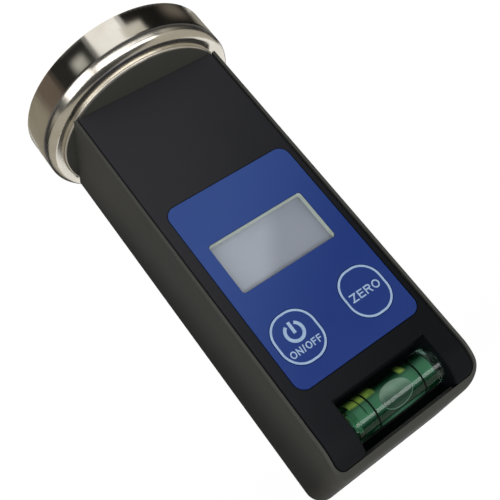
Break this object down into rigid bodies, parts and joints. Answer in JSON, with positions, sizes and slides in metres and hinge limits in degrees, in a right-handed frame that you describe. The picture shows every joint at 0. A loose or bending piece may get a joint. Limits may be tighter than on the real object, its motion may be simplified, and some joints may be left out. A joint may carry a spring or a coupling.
{
  "type": "digital camber gauge",
  "caption": "Handheld digital camber gauge: a long black housing with a display, keys and a spirit level on its face, standing on a round pot magnet.",
  "frame": {"origin": "centre of the magnet's contact face, which the gauge stands on", "axes": "+Z along the housing away from the magnet, the display faces -Y, and +X is to the right of a user who looks at the display with the spirit level at the top"},
  "size_m": [0.06, 0.06, 0.126],
  "materials": {
    "nickel_plated_steel": "polished nickel plate",
    "zinc_plated_steel": "bright zinc plate",
    "ferrite": "ground ferrite",
    "casting_resin": "cast resin",
    "case_plastic": "satin moulded",
    "cover_plastic": "satin moulded",
    "label_film": "printed film",
    "switch_plastic": "moulded",
    "plunger_plastic": "moulded",
    "clear_lens": "clear",
    "display_glass": "polarised glass",
    "connector_rubber": "moulded",
    "board_laminate": "solder mask",
    "chip_plastic": "moulded",
    "sensor_lid": "bright",
    "capacitor_ceramic": "fired",
    "vial_acrylic": "clear",
    "vial_liquid": "tinted liquid",
    "air_bubble": "clear",
    "ring_lacquer": "painted line",
    "cell_sleeve": "plain sleeve",
    "contact_nickel": "nickel plate",
    "red_insulation": "extruded",
    "black_insulation": "extruded"
  },
  "bodies": {
    "gauge": {"magnet_cup": "nickel_plated_steel", "magnet_ring": "ferrite", "magnet_core": "zinc_plated_steel", "magnet_resin": "casting_resin", "magnet_screw": "zinc_plated_steel", "magnet_washer": "zinc_plated_steel", "magnet_nut": "zinc_plated_steel", "rear_case": "case_plastic", "front_cover": "cover_plastic", "control_label": "label_film", "on_off_switch": "switch_plastic", "zero_switch": "switch_plastic", "display_lens": "clear_lens", "display_panel": "display_glass", "display_frame": "switch_plastic", "display_connectors": "connector_rubber", "circuit_board": "board_laminate", "board_screws": "zinc_plated_steel", "controller_chip": "chip_plastic", "tilt_sensor": "sensor_lid", "quartz_crystal": "sensor_lid", "board_capacitors": "capacitor_ceramic", "case_screws": "zinc_plated_steel", "vial_tube": "vial_acrylic", "vial_plug": "vial_acrylic", "vial_rings": "ring_lacquer", "vial_liquid": "vial_liquid", "vial_cradle": "switch_plastic", "battery_left": "cell_sleeve", "battery_right": "cell_sleeve", "contact_negative": "contact_nickel", "contact_positive": "contact_nickel", "contact_bridge": "contact_nickel", "lead_red": "red_insulation", "lead_black": "black_insulation"},
    "on_off_button": {"on_off_key": "label_film", "on_off_plunger": "plunger_plastic"},
    "zero_button": {"zero_key": "label_film", "zero_plunger": "plunger_plastic"},
    "door": {"battery_door": "case_plastic"},
    "bubble": {"vial_bubble": "air_bubble"}
  },
  "joints": [
    {"name": "on_off_press", "type": "slide", "parent": "gauge", "child": "on_off_button", "axis": [0, 1, 0], "range_m": [0, 0.00035], "stiffness_N_per_m": 150},
    {"name": "zero_press", "type": "slide", "parent": "gauge", "child": "zero_button", "axis": [0, 1, 0], "range_m": [0, 0.00035], "stiffness_N_per_m": 150},
    {"name": "door_slide", "type": "slide", "parent": "gauge", "child": "door", "axis": [0, 0, 1], "range_m": [0, 0.058]},
    {"name": "bubble_slide", "type": "slide", "parent": "gauge", "child": "bubble", "axis": [1, 0, 0], "range_m": [-0.005, 0.005]}
  ]
}
